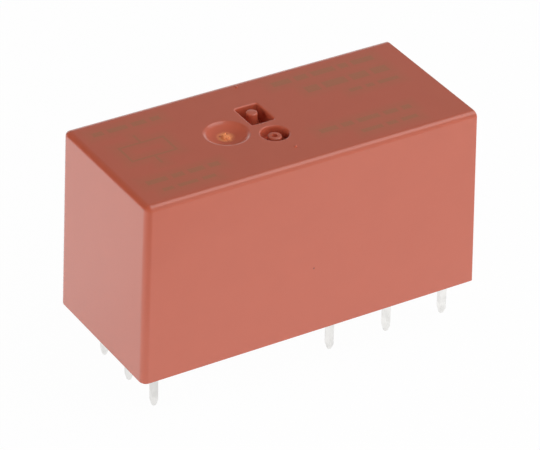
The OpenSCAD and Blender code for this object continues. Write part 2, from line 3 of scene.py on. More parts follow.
import bpy
from mathutils import Matrix, Vector


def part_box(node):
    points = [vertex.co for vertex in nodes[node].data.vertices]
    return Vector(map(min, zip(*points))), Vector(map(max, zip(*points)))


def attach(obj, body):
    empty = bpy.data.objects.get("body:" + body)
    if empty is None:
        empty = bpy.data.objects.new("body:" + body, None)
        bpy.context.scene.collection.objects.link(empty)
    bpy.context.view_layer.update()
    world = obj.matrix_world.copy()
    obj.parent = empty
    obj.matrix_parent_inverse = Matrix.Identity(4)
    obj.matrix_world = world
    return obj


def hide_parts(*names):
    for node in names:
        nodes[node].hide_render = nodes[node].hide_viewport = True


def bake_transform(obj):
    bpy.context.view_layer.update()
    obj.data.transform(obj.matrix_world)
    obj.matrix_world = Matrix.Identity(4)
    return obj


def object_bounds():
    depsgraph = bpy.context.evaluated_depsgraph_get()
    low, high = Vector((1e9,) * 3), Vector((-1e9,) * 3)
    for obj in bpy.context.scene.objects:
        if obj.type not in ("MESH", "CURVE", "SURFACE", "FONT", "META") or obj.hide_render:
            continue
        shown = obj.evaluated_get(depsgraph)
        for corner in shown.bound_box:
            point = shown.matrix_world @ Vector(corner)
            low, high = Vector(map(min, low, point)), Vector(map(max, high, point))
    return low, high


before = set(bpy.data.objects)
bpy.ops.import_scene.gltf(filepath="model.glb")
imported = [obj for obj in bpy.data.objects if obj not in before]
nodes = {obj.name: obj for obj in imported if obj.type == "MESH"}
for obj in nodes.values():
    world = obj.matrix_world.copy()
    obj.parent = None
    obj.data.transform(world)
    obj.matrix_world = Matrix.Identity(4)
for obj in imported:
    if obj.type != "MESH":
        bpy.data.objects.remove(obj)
cad_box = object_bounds()

# Base
# Plate moulded in the case's own plastic, with feet, pin slots and the walls that part coil and contacts.
# Every other piece is pressed into it before the cover goes on.
MM = 0.001
FINE_GRAIN = 0.07 * MM
SOFT_MOTTLE = 2.5 * MM
BASE_RED = (0.44, 0.105, 0.055, 1)
BASE_RED_DEEP = (0.39, 0.088, 0.046, 1)
BASE_ROUGHNESS = (0.42, 0.62)
BASE_GRAIN_HEIGHT = 0.006 * MM


class Shade:
    """One output of a material's nodes. Arithmetic on it adds Math nodes."""

    def __init__(self, tree, socket):
        self.tree = tree
        self.socket = socket

    def node(self, kind, settings, inputs, output=0):
        """Adds a node, makes its settings and then fills its inputs with values or links."""
        made = self.tree.nodes.new("ShaderNode" + kind)
        for name, value in settings.items():
            setattr(made, name, value)
        for name, value in inputs.items():
            if isinstance(value, Shade):
                self.tree.links.new(value.socket, made.inputs[name])
            else:
                made.inputs[name].default_value = value
        return Shade(self.tree, made.outputs[output])

    def math(self, operation, first, second=0.0):
        return self.node("Math", {"operation": operation}, {0: first, 1: second})

    def __add__(self, other):
        return self.math("ADD", self, other)

    def __sub__(self, other):
        return self.math("SUBTRACT", self, other)

    def __rsub__(self, other):
        return self.math("SUBTRACT", other, self)

    def __mul__(self, other):
        return self.math("MULTIPLY", self, other)

    def __abs__(self):
        return self.math("ABSOLUTE", self)

    __radd__ = __add__
    __rmul__ = __mul__

    def between(self, low, high):
        """Spreads a value from 0 to 1 over a range."""
        return self * (high - low) + low

    def tint(self, low, high):
        """Mixes two colours by this value."""
        return self.node("Mix", {"data_type": "RGBA"}, {0: self, 6: low, 7: high}, 2)

    def ramp(self, start, end):
        """Rises smoothly from 0 to 1 between two values, or falls where end is below start."""
        settings = {"interpolation_type": "SMOOTHSTEP"}
        return self.node("MapRange", settings, {"Value": self, "From Min": start, "From Max": end})

    def noise(self, size, detail=2.0):
        """Noise over these coordinates with features of a size in metres."""
        return self.node("TexNoise", {}, {"Vector": self, "Scale": 1 / size, "Detail": detail})

    def bump(self, distance, strength=1.0):
        """Normal of a surface that this value raises by a distance."""
        return self.node("Bump", {}, {"Height": self, "Distance": distance, "Strength": strength})

    def distance_to(self, place):
        """How far these coordinates are from a place."""
        return self.node("VectorMath", {"operation": "DISTANCE"}, {0: self, 1: place}, 1)

    def split(self):
        """Parts these coordinates into x, y and z."""
        parted = self.node("SeparateXYZ", {}, {"Vector": self}).socket.node
        return [Shade(self.tree, output) for output in parted.outputs]


def surface(name):
    """Starts a material and gives it and its Object coordinates."""
    material = bpy.data.materials.new(name)
    material.use_nodes = True
    tree = material.node_tree
    return material, Shade(tree, tree.nodes.new("ShaderNodeTexCoord").outputs["Object"])


def finish_surface(material, sockets):
    """Sets or links the sockets of a material's main shader."""
    shader = material.node_tree.nodes["Principled BSDF"]
    for name, value in sockets.items():
        if isinstance(value, Shade):
            material.node_tree.links.new(value.socket, shader.inputs[name])
        else:
            shader.inputs[name].default_value = value


def coat(piece, material):
    """Gives a piece one material."""
    piece.data.materials.clear()
    piece.data.materials.append(material)


base_plastic, here = surface("base_plastic")
finish_surface(base_plastic, {
    "Base Color": here.noise(SOFT_MOTTLE).tint(BASE_RED, BASE_RED_DEEP),
    "Roughness": here.noise(FINE_GRAIN).between(*BASE_ROUGHNESS),
    "Normal": here.noise(FINE_GRAIN, detail=3.0).bump(BASE_GRAIN_HEIGHT),
})
coat(nodes["base"], base_plastic)

# Sealing resin
# Amber casting resin that is poured under the base and closes the relay round its pins.
# It wets the plastic, so its face is glossy with slow waves and a few darker clouds.
RESIN_AMBER = (0.24, 0.085, 0.025, 1)
RESIN_DARK = (0.13, 0.045, 0.015, 1)
RESIN_ROUGHNESS = (0.1, 0.3)
RESIN_WAVE = 1.6 * MM
RESIN_WAVE_HEIGHT = 0.05 * MM

resin, here = surface("sealing_resin")
finish_surface(resin, {
    "Base Color": here.noise(RESIN_WAVE, detail=4.0).tint(RESIN_DARK, RESIN_AMBER),
    "Roughness": here.noise(RESIN_WAVE).between(*RESIN_ROUGHNESS),
    "Coat Weight": 0.4,
    "Normal": here.noise(RESIN_WAVE).bump(RESIN_WAVE_HEIGHT),
})
coat(nodes["sealing_resin"], resin)

# Coil pins and contact terminals
# Pins of drawn square wire and blanks stamped from copper alloy strip, hot tinned all over.
# The tin rounds every stamped edge and dries with a faint matt bloom.
TIN_REACH = 0.045 * MM
TIN_BRIGHT = (0.92, 0.91, 0.89, 1)
TIN_DULL = (0.84, 0.83, 0.81, 1)
TIN_ROUGHNESS = (0.2, 0.45)
TIN_BLOOM = 0.6 * MM
TIN_BLOOM_EDGE = (0.4, 0.65)
TIN_RIPPLE = TIN_BLOOM / 4
TIN_RIPPLE_HEIGHT = 0.008 * MM
STAMPED_EDGE = math.radians(35)
FLAT_WITHIN = math.radians(0.5)
WELD = 0.001 * MM
TERMINALS = [
    "coil_pin_set", "coil_pin_common", "coil_pin_reset",
    "make_terminal_front", "make_terminal_rear",
    "common_terminal_front", "common_terminal_rear",
    "break_terminal_front", "break_terminal_rear",
]


def choose(piece):
    """Makes a piece the only selected one."""
    bpy.ops.object.select_all(action="DESELECT")
    piece.select_set(True)
    bpy.context.view_layer.objects.active = piece


def edit(piece):
    """Goes to edit mode with all of a piece selected."""
    choose(piece)
    bpy.ops.object.mode_set(mode="EDIT")
    bpy.ops.mesh.select_all(action="SELECT")


def apply_modifier(piece, kind, **settings):
    """Adds a modifier to a piece and applies it."""
    choose(piece)
    modifier = piece.modifiers.new(kind.lower(), kind)
    for name, value in settings.items():
        setattr(modifier, name, value)
    bpy.ops.object.modifier_apply(modifier=modifier.name)


def smooth(piece):
    """Shades a piece smooth across its roundings and flat on its faces."""
    choose(piece)
    bpy.ops.object.shade_smooth_by_angle(angle=STAMPED_EDGE)
    apply_modifier(piece, "WEIGHTED_NORMAL", keep_sharp=True)


def merged_copy(node, name):
    """Copies a node's mesh with its loose triangles merged into whole faces."""
    piece = bpy.data.objects.new(name, nodes[node].data.copy())
    bpy.context.collection.objects.link(piece)
    edit(piece)
    bpy.ops.mesh.remove_doubles(threshold=WELD)
    bpy.ops.mesh.dissolve_limited(angle_limit=FLAT_WITHIN)
    bpy.ops.object.mode_set(mode="OBJECT")
    return piece


def softened(node, name, reach, material, body="housing"):
    """Stands a copy with rounded edges in a node's place."""
    piece = merged_copy(node, name)
    apply_modifier(
        piece, "BEVEL", width=reach, segments=2, limit_method="ANGLE", angle_limit=STAMPED_EDGE,
    )
    smooth(piece)
    coat(piece, material)
    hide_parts(node)
    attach(piece, body)


tinned, here = surface("tinned_metal")
bloom = here.noise(TIN_BLOOM, detail=4.0)
finish_surface(tinned, {
    "Base Color": bloom.ramp(*TIN_BLOOM_EDGE).tint(TIN_BRIGHT, TIN_DULL),
    "Metallic": 1.0,
    "Roughness": bloom.between(*TIN_ROUGHNESS),
    "Normal": here.noise(TIN_RIPPLE).bump(TIN_RIPPLE_HEIGHT),
})
for node in TERMINALS:
    softened(node, "tinned_" + node, TIN_REACH, tinned)

# Bobbin
# Spool moulded in black glass-filled nylon, which carries both windings.
# The glass leaves it dull, with a fine streaky grain.
BOBBIN_REACH = 0.05 * MM
BOBBIN_BLACK = (0.012, 0.012, 0.013, 1)
BOBBIN_GREY = (0.03, 0.03, 0.032, 1)
BOBBIN_ROUGHNESS = (0.4, 0.65)
BOBBIN_STREAK = 2 * FINE_GRAIN
BOBBIN_GRAIN_HEIGHT = 0.006 * MM

bobbin_plastic, here = surface("bobbin_plastic")
finish_surface(bobbin_plastic, {
    "Base Color": here.noise(BOBBIN_STREAK, detail=4.0).tint(BOBBIN_BLACK, BOBBIN_GREY),
    "Roughness": here.noise(BOBBIN_STREAK).between(*BOBBIN_ROUGHNESS),
    "Normal": here.noise(FINE_GRAIN).bump(BOBBIN_GRAIN_HEIGHT),
})
softened("bobbin", "moulded_bobbin", BOBBIN_REACH, bobbin_plastic)

# Windings
# Enamelled copper wire, the set winding inside and the reset winding over it, laid turn beside turn.
# Their ends leave the coil as leads and are soldered to the coil pins.
WIRE = 0.14 * MM
ENAMELLED = 0.135 * MM
WIRE_SIDES = 8
TURN_STEPS = 40
SLEEVE_SIDES = 64
LEAD = 0.3 * MM
LEAD_KNOT = 1.1 * LEAD
LEAD_EASE = 0.2
LEAD_SLOT = 0.5 * MM
FLANGE = 0.7 * MM
WINDING_LIP = 0.2 * MM
WINDING_DEPTH = 1.4 * MM
SIDE_GAP = 0.03 * MM
ENAMEL = (0.62, 0.2, 0.06, 1)
ENAMEL_DEEP = (0.42, 0.11, 0.035, 1)
ENAMEL_PATCH = 0.9 * MM
ENAMEL_SPECK = 0.4 * MM
ENAMEL_ROUGHNESS = (0.22, 0.37)

copper, here = surface("copper_wire")
finish_surface(copper, {
    "Base Color": here.noise(ENAMEL_PATCH, detail=3.0).tint(ENAMEL_DEEP, ENAMEL),
    "Metallic": 1.0,
    "Roughness": here.noise(ENAMEL_SPECK).between(*ENAMEL_ROUGHNESS),
    "Coat Weight": 0.3,
})


def settled(size=(1, 1, 1)):
    """Gives the primitive just added, with its size and place put into its mesh."""
    piece = bpy.context.object
    piece.scale = size
    bpy.ops.object.transform_apply(location=True, rotation=True, scale=True)
    return piece


def sleeve(inner, outer, x0, x1, axis_z):
    """Ring of packed wire about the coil's axis."""
    bpy.ops.object.select_all(action="DESELECT")
    bpy.ops.mesh.primitive_cylinder_add(
        vertices=SLEEVE_SIDES, radius=outer, depth=x1 - x0, end_fill_type="NOTHING",
        location=((x0 + x1) / 2, 0, axis_z), rotation=(0, math.pi / 2, 0),
    )
    piece = settled()
    apply_modifier(piece, "SOLIDIFY", thickness=outer - inner, offset=-1.0, use_even_offset=True)
    return piece


def turns(radius, x0, x1, axis_z):
    """Wire wound as one helix about the coil's axis."""
    count = math.floor((x1 - x0 - WIRE) / WIRE)
    bpy.ops.object.select_all(action="DESELECT")
    bpy.ops.mesh.primitive_circle_add(
        vertices=WIRE_SIDES, radius=ENAMELLED / 2,
        location=(x0 + WIRE / 2, 0, radius), rotation=(math.pi / 2, 0, 0),
    )
    piece = settled()
    apply_modifier(
        piece, "SCREW", axis="X", angle=2 * math.pi, screw_offset=WIRE, iterations=count,
        steps=TURN_STEPS, render_steps=TURN_STEPS, use_normal_calculate=True,
    )
    edit(piece)
    bpy.ops.mesh.fill_holes(sides=WIRE_SIDES)
    bpy.ops.object.mode_set(mode="OBJECT")
    piece.data.transform(Matrix.Translation((0, 0, axis_z)))
    return piece


def lead_wire(points):
    """Round wire with eased bends through a list of points."""
    bpy.ops.object.select_all(action="DESELECT")
    bpy.ops.curve.primitive_nurbs_path_add()
    wire = bpy.context.object
    spline = wire.data.splines[0]
    eased = [points[0]]
    for before, corner, after in zip(points, points[1:], points[2:]):
        eased += [corner.lerp(before, LEAD_EASE), corner, corner.lerp(after, LEAD_EASE)]
    eased.append(points[-1])
    spline.points.add(len(eased) - len(spline.points))
    for point, place in zip(spline.points, eased):
        point.co = (*place, 1)
    spline.order_u = 3
    spline.use_endpoint_u = True
    wire.data.bevel_depth = LEAD / 2
    wire.data.bevel_resolution = 3
    wire.data.use_fill_caps = True
    choose(wire)
    bpy.ops.object.convert(target="MESH")
    return bpy.context.object


def joined(name, parts):
    """Joins parts into one piece, welds their caps and turns all faces outwards."""
    bpy.ops.object.select_all(action="DESELECT")
    for part in parts:
        part.select_set(True)
    bpy.context.view_layer.objects.active = parts[0]
    bpy.ops.object.join()
    piece = bpy.context.object
    piece.name = name
    edit(piece)
    bpy.ops.mesh.remove_doubles(threshold=WELD)
    bpy.ops.mesh.normals_make_consistent(inside=False)
    bpy.ops.object.mode_set(mode="OBJECT")
    return piece


spool_low, spool_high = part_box("bobbin")
pin_low, pin_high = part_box("coil_pin_set")
lead_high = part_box("reset_winding")[1]
pin_x = (pin_low.x + pin_high.x) / 2
pin_side = pin_high.x - pin_low.x
coil_z = (spool_low.z + spool_high.z) / 2
outer_r = min((spool_high.z - spool_low.z) / 2, spool_high.y) - WINDING_LIP
tube_r = outer_r - WINDING_DEPTH
middle_r = (outer_r + tube_r) / 2
wound_x0 = spool_low.x + FLANGE + SIDE_GAP
wound_x1 = spool_high.x - FLANGE - SIDE_GAP
lead_y = lead_high.y - LEAD_KNOT / 2
lead_z = lead_high.z - LEAD_KNOT / 2
tie = (pin_side + LEAD_KNOT) / 2 + SIDE_GAP
tie_z = pin_high.z - LEAD_SLOT
windings = [
    ("set_winding", tube_r + SIDE_GAP, middle_r, wound_x0, -1, pin_low.y + pin_side / 2),
    ("reset_winding", middle_r + SIDE_GAP, outer_r, wound_x0 + LEAD_SLOT, 1, -pin_low.y - pin_side / 2),
]
for node, inner, outer, x0, side, pin_y in windings:
    lead_x = x0 + LEAD_SLOT / 2
    start = outer - LEAD
    to_end_pin = [
        Vector((lead_x, side * start, coil_z)),
        Vector((lead_x, side * lead_y, coil_z)),
        Vector((pin_x, side * lead_y, tie_z)),
        Vector((pin_x, pin_y + side * tie, tie_z)),
    ]
    to_middle_pin = [
        Vector((lead_x, side * tie, coil_z + start)),
        Vector((lead_x, side * tie, lead_z)),
        Vector((pin_x, side * tie, lead_z)),
        Vector((pin_x, side * tie, tie_z)),
    ]
    coil = joined(node.replace("winding", "coil_wire"), [
        sleeve(inner, outer - WIRE / 2, x0, wound_x1, coil_z),
        turns(outer - WIRE / 2, x0, wound_x1, coil_z),
        lead_wire(to_end_pin),
        lead_wire(to_middle_pin),
    ])
    smooth(coil)
    coat(coil, copper)
    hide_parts(node)
    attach(coil, "housing")

# Core, yoke and armature
# Soft magnetic iron: a turned core with its pole shoe, an angle of sheet and a stamped plate.
# They are nickel plated, so they are grey with faint rolling marks.
CORE_REACH = 0.06 * MM
SHEET_REACH = 0.08 * MM
IRON = (0.52, 0.515, 0.5, 1)
IRON_DULL = (0.4, 0.395, 0.385, 1)
IRON_ROUGHNESS = (0.25, 0.5)
ROLLING = (1 / (2.5 * MM), 1 / (0.06 * MM), 1 / (2.5 * MM))
ROLLING_HEIGHT = 0.004 * MM

iron, here = surface("magnet_iron")
stretched = here.node("VectorMath", {"operation": "MULTIPLY"}, {0: here, 1: ROLLING})
rolled = stretched.noise(1.0, detail=3.0)
finish_surface(iron, {
    "Base Color": rolled.tint(IRON_DULL, IRON),
    "Metallic": 1.0,
    "Roughness": rolled.between(*IRON_ROUGHNESS),
    "Normal": rolled.bump(ROLLING_HEIGHT),
})
softened("core", "plated_core", CORE_REACH, iron)
softened("yoke", "plated_yoke", SHEET_REACH, iron)
softened("armature", "plated_armature", SHEET_REACH, iron, "armature_plate")

# Armature spring, contact leaves and rivets
# Rolled phosphor bronze: the spring at the heel of the armature, the contact leaves and their rivets.
# A leaf is riveted to its terminal at the foot and bends along its blade, so it blends into its moving end.
SPRING_REACH = 0.02 * MM
LEAF_FOOT = 0.6 * MM
LEAF_LOOPS = 14
BRONZE = (0.66, 0.42, 0.17, 1)
BRONZE_TARNISH = (0.5, 0.28, 0.1, 1)
BRONZE_ROUGHNESS = (0.2, 0.4)
TARNISH = 0.8 * MM
TARNISH_EDGE = (0.45, 0.7)
BRONZE_GRAIN = 0.1 * MM
BRONZE_GRAIN_HEIGHT = 0.003 * MM

bronze, here = surface("spring_bronze")
tarnish = here.noise(TARNISH, detail=4.0)
finish_surface(bronze, {
    "Base Color": tarnish.ramp(*TARNISH_EDGE).tint(BRONZE, BRONZE_TARNISH),
    "Metallic": 1.0,
    "Roughness": tarnish.between(*BRONZE_ROUGHNESS),
    "Normal": here.noise(BRONZE_GRAIN).bump(BRONZE_GRAIN_HEIGHT),
})
for node in ("armature_spring", "leaf_rivet_front", "leaf_rivet_rear"):
    softened(node, "bronze_" + node, SPRING_REACH, bronze)

for end in ("front", "rear"):
    node = "contact_leaf_" + end
    leaf = merged_copy(node, "bronze_" + node)
    foot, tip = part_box(node)
    bend_z = foot.z + LEAF_FOOT
    held_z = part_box("moving_contact_" + end)[0].z
    edit(leaf)
    for loop in range(LEAF_LOOPS):
        bpy.ops.mesh.select_all(action="SELECT")
        level = bend_z + (held_z - bend_z) * loop / (LEAF_LOOPS - 1)
        bpy.ops.mesh.bisect(plane_co=(0, 0, level), plane_no=(0, 0, 1))
    bpy.ops.object.mode_set(mode="OBJECT")
    smooth(leaf)
    coat(leaf, bronze)
    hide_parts(node)
    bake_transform(leaf)

# Contacts
# Silver alloy rivets with domed faces, one in each fixed terminal and a double one through each leaf.
# Their faces are bright, with a slight satin bloom from heading.
CONTACT_REACH = 0.04 * MM
SILVER = (0.87, 0.86, 0.83, 1)
SILVER_SATIN = (0.74, 0.73, 0.7, 1)
SILVER_ROUGHNESS = (0.15, 0.35)
SATIN = 0.35 * MM
SATIN_HEIGHT = 0.003 * MM

silver, here = surface("contact_silver")
satin = here.noise(SATIN, detail=3.0)
finish_surface(silver, {
    "Base Color": satin.tint(SILVER_SATIN, SILVER),
    "Metallic": 1.0,
    "Roughness": satin.between(*SILVER_ROUGHNESS),
    "Normal": satin.bump(SATIN_HEIGHT),
})
for end in ("front", "rear"):
    for kind, body in (("make", "housing"), ("break", "housing"), ("moving", end + "_leaf")):
        node = kind + "_contact_" + end
        softened(node, "silver_" + node, CONTACT_REACH, silver, body)

# Card
# Slider moulded in cream polyester, which carries the armature's motion to the leaves.
# It is matt, slightly waxy and a little uneven in colour.
CARD_REACH = 0.05 * MM
CARD_CREAM = (0.78, 0.73, 0.62, 1)
CARD_PALE = (0.84, 0.81, 0.73, 1)
CARD_ROUGHNESS = (0.4, 0.55)
CARD_GRAIN_HEIGHT = 0.004 * MM

card_plastic, here = surface("card_plastic")
finish_surface(card_plastic, {
    "Base Color": here.noise(SOFT_MOTTLE).tint(CARD_CREAM, CARD_PALE),
    "Roughness": here.noise(FINE_GRAIN).between(*CARD_ROUGHNESS),
    "Normal": here.noise(FINE_GRAIN).bump(CARD_GRAIN_HEIGHT),
})
softened("card", "moulded_card", CARD_REACH, card_plastic, "card_slider")

# Cover
# Deep box moulded in rust-red polyester, drafted so that it leaves the mould, with rounded upper edges.
# It is pressed over the base, and a ledge inside it stops on the base's deck.
END_DRAFT = math.tan(math.radians(1.5))
SIDE_DRAFT = math.tan(math.radians(0.25))
EDGE_ALONG = 0.5 * MM
EDGE_CONTACT = 0.2 * MM
EDGE_ACROSS = 0.6 * MM
EDGE_DOWN = 0.4 * MM
EDGE_STEPS = 8
RIM_EDGE = 0.05 * MM
RIM_STEPS = 2
INNER_EDGE = 0.3 * MM
WALL = 0.65 * MM
ROOF = 0.9 * MM
LEDGE = 0.3 * MM
TERMINAL_STRIP = 0.4 * MM
PAST = 0.5 * MM
NEAR = 0.01 * MM
UPRIGHT = 0.99

cover_low, cover_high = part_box("cover")
rim_z = cover_low.z
top_z = cover_high.z
deck_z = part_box("common_terminal_front")[1].z - TERMINAL_STRIP


def pick(piece, kind, test):
    """Goes to edit mode with only those parts selected whose middle and direction pass a test."""
    bpy.ops.object.mode_set(mode="OBJECT")
    choose(piece)
    bpy.ops.object.mode_set(mode="EDIT")
    bpy.ops.mesh.select_mode(type=kind)
    bpy.ops.mesh.select_all(action="DESELECT")
    bpy.ops.object.mode_set(mode="OBJECT")
    mesh = piece.data
    if kind == "FACE":
        for face in mesh.polygons:
            face.select = test(face.center, face.normal)
    elif kind == "VERT":
        for vertex in mesh.vertices:
            vertex.select = test(vertex.co, vertex.normal)
    else:
        for edge in mesh.edges:
            first, second = (mesh.vertices[i].co for i in edge.vertices)
            edge.select = test((first + second) / 2, (second - first).normalized())
    bpy.ops.object.mode_set(mode="EDIT")


def round_edges(reach, steps):
    """Rounds the picked edges."""
    bpy.ops.mesh.bevel(offset=reach, segments=steps, profile=0.5, affect="EDGES")


def drafted_block(inset_x, inset_y, low, high, down, across, coil_reach, contact_reach, low_reach=0.0):
    """Block inside the case's drafted faces, its rounded edges with a reach for each direction."""
    def half(z):
        return Vector((
            cover_high.x - END_DRAFT * (z - rim_z) - inset_x,
            cover_high.y - SIDE_DRAFT * (z - rim_z) - inset_y,
        ))

    coil_stretch = coil_reach / down
    contact_stretch = contact_reach / down
    side_stretch = across / down
    foot = half(low)
    head = half(high)
    coil_x = -foot.x / coil_stretch
    contact_x = foot.x / contact_stretch
    bpy.ops.object.select_all(action="DESELECT")
    bpy.ops.mesh.primitive_cube_add(
        size=1, location=((coil_x + contact_x) / 2, 0, (low + high) / 2),
    )
    block = settled((contact_x - coil_x, 2 * foot.y / side_stretch, high - low))
    pick(block, "FACE", lambda middle, normal: normal.z > UPRIGHT)
    bpy.ops.transform.resize(
        value=(head.x / foot.x, head.y / foot.y, 1), center_override=(0, 0, 0),
    )
    pick(block, "EDGE", lambda middle, along: middle.z > low + NEAR)
    round_edges(down, EDGE_STEPS)
    if low_reach:
        pick(block, "EDGE", lambda middle, along: middle.z < low + NEAR)
        round_edges(low_reach, RIM_STEPS)
    pick(block, "VERT", lambda place, normal: place.x < 0)
    bpy.ops.transform.resize(value=(coil_stretch, side_stretch, 1), center_override=(0, 0, 0))
    pick(block, "VERT", lambda place, normal: place.x > 0)
    bpy.ops.transform.resize(value=(contact_stretch, side_stretch, 1), center_override=(0, 0, 0))
    bpy.ops.object.mode_set(mode="OBJECT")
    return block


def carve(piece, operation, tool):
    """Cuts a tool from a piece or fuses it to the piece, and takes the tool away."""
    apply_modifier(piece, "BOOLEAN", operation=operation, solver="EXACT", object=tool)
    bpy.data.objects.remove(tool)


cover = drafted_block(
    0, 0, rim_z, top_z, EDGE_DOWN, EDGE_ACROSS, EDGE_ALONG, EDGE_CONTACT, RIM_EDGE,
)
cover.name = "moulded_cover"
carve(cover, "DIFFERENCE", drafted_block(
    WALL, WALL, rim_z - PAST, deck_z, RIM_EDGE, RIM_EDGE, RIM_EDGE, RIM_EDGE,
))
carve(cover, "DIFFERENCE", drafted_block(
    WALL, WALL + LEDGE, deck_z - PAST, top_z - ROOF, INNER_EDGE, INNER_EDGE, INNER_EDGE, INNER_EDGE,
))

# Roof of the cover
# A vent pocket with the nib that is cut off to open it, the dish of the gate and a round recess with a boss.
# They sink into linings under the roof, so the wall stays whole round them, and their mouths are rounded.
POCKET_WALL = 0.45 * MM
MOUTH = 0.12 * MM
MOUTH_STEPS = 5
STUD_SIDES = 56
STUD_STEPS = 4
CORNER_STEPS = 5
VENT = Vector((-0.63, 1.46)) * MM
VENT_LENGTH = 1.9 * MM
VENT_WIDTH = 2.6 * MM
VENT_DEPTH = 1.2 * MM
VENT_CORNER = 0.2 * MM
NIB = 0.88 * MM
NIB_OFFSET = 0.39 * MM
NIB_DROP = MOUTH / 4
GATE = Vector((-3.75, 0.1)) * MM
GATE_WIDTH = 3.6 * MM
GATE_DEPTH = 0.5 * MM
GATE_LIP = 0.35 * MM
GATE_SIDES = 96
GATE_STEPS = 12
RECESS = Vector((-0.73, -1.58)) * MM
RECESS_WIDTH = 2.1 * MM
RECESS_DEPTH = 0.8 * MM
BOSS = 1.1 * MM
BOSS_DROP = 0.2 * MM
DIMPLE = 0.45 * MM
DIMPLE_DEPTH = 0.3 * MM
DIMPLE_TAPER = 0.7


def block_at(x, y, low, high, size_x, size_y, corner):
    """Upright block with rounded corners."""
    bpy.ops.object.select_all(action="DESELECT")
    bpy.ops.mesh.primitive_cube_add(size=1, location=(x, y, (low + high) / 2))
    block = settled((size_x, size_y, high - low))
    pick(block, "EDGE", lambda middle, along: abs(along.z) > UPRIGHT)
    round_edges(corner, CORNER_STEPS)
    bpy.ops.object.mode_set(mode="OBJECT")
    return block


def stud_at(x, y, low, high, diameter, edge=0.0):
    """Upright stud whose upper edge is rounded."""
    bpy.ops.object.select_all(action="DESELECT")
    bpy.ops.mesh.primitive_cylinder_add(
        vertices=STUD_SIDES, radius=diameter / 2, depth=high - low, location=(x, y, (low + high) / 2),
    )
    stud = settled()
    if edge:
        pick(stud, "EDGE", lambda middle, along: middle.z > high - NEAR)
        round_edges(edge, STUD_STEPS)
        bpy.ops.object.mode_set(mode="OBJECT")
    return stud


def flare(tool, size_x, size_y):
    """Rounds the mouth of a pocket's tool and ends it past the roof."""
    pick(tool, "FACE", lambda middle, normal: normal.z > UPRIGHT)
    wide = 0.0
    up = 0.0
    for step in range(1, MOUTH_STEPS + 1):
        turn = math.pi / 2 * step / MOUTH_STEPS
        next_wide = MOUTH * (1 - math.cos(turn))
        next_up = MOUTH * math.sin(turn)
        bpy.ops.mesh.extrude_region_move(TRANSFORM_OT_translate={"value": (0, 0, next_up - up)})
        bpy.ops.transform.resize(value=(
            (size_x + 2 * next_wide) / (size_x + 2 * wide),
            (size_y + 2 * next_wide) / (size_y + 2 * wide),
            1,
        ))
        wide = next_wide
        up = next_up
    bpy.ops.mesh.extrude_region_move(TRANSFORM_OT_translate={"value": (0, 0, PAST)})
    bpy.ops.object.mode_set(mode="OBJECT")


lined = 2 * POCKET_WALL
inside = top_z - ROOF / 2
vent_floor = top_z - VENT_DEPTH
gate_floor = top_z - GATE_DEPTH
recess_floor = top_z - RECESS_DEPTH
carve(cover, "UNION", block_at(
    *VENT, vent_floor - POCKET_WALL, inside,
    VENT_LENGTH + lined, VENT_WIDTH + lined, VENT_CORNER + POCKET_WALL,
))
carve(cover, "UNION", stud_at(*GATE, gate_floor - POCKET_WALL, inside, GATE_WIDTH + lined))
carve(cover, "UNION", stud_at(*RECESS, recess_floor - POCKET_WALL, inside, RECESS_WIDTH + lined))

vent_tool = block_at(*VENT, vent_floor, top_z - MOUTH, VENT_LENGTH, VENT_WIDTH, VENT_CORNER)
flare(vent_tool, VENT_LENGTH, VENT_WIDTH)
carve(cover, "DIFFERENCE", vent_tool)

recess_tool = stud_at(*RECESS, recess_floor, top_z - MOUTH, RECESS_WIDTH)
flare(recess_tool, RECESS_WIDTH, RECESS_WIDTH)
carve(cover, "DIFFERENCE", recess_tool)

rim_r = GATE_WIDTH / 2
lip_r = (rim_r ** 2 + GATE_DEPTH ** 2) / (2 * GATE_DEPTH)
dish_r = lip_r - GATE_LIP
lean = math.asin(rim_r / lip_r)
turned = [lean * step / GATE_STEPS for step in range(1, GATE_STEPS + 1)]
rings = [(dish_r * math.sin(turn), dish_r * (1 - math.cos(turn)) - GATE_DEPTH) for turn in turned]
for turn in reversed([0.0] + turned[:-1]):
    rings.append((rim_r - GATE_LIP * math.sin(turn), GATE_LIP * (math.cos(turn) - 1)))
rings.append((rim_r, PAST))
bpy.ops.object.select_all(action="DESELECT")
bpy.ops.mesh.primitive_circle_add(
    vertices=GATE_SIDES, radius=rings[0][0], fill_type="NGON", location=(*GATE, top_z + rings[0][1]),
)
dish_tool = settled()
edit(dish_tool)
for (r, z), (next_r, next_z) in zip(rings, rings[1:]):
    bpy.ops.mesh.extrude_region_move(TRANSFORM_OT_translate={"value": (0, 0, next_z - z)})
    bpy.ops.transform.resize(value=(next_r / r, next_r / r, 1))
bpy.ops.mesh.select_all(action="SELECT")
bpy.ops.mesh.normals_make_consistent(inside=False)
bpy.ops.object.mode_set(mode="OBJECT")
carve(cover, "DIFFERENCE", dish_tool)

carve(cover, "UNION", stud_at(
    VENT.x, VENT.y + NIB_OFFSET, vent_floor - POCKET_WALL / 2, top_z - NIB_DROP, NIB, MOUTH,
))

boss = stud_at(*RECESS, recess_floor - POCKET_WALL / 2, top_z - BOSS_DROP, BOSS, MOUTH)
pick(boss, "FACE", lambda middle, normal: normal.z > UPRIGHT)
bpy.ops.mesh.inset(thickness=BOSS / 2 - MOUTH - DIMPLE / 2)
bpy.ops.mesh.extrude_region_move(TRANSFORM_OT_translate={"value": (0, 0, -DIMPLE_DEPTH)})
bpy.ops.transform.resize(value=(DIMPLE_TAPER, DIMPLE_TAPER, 1))
bpy.ops.object.mode_set(mode="OBJECT")
carve(cover, "UNION", boss)

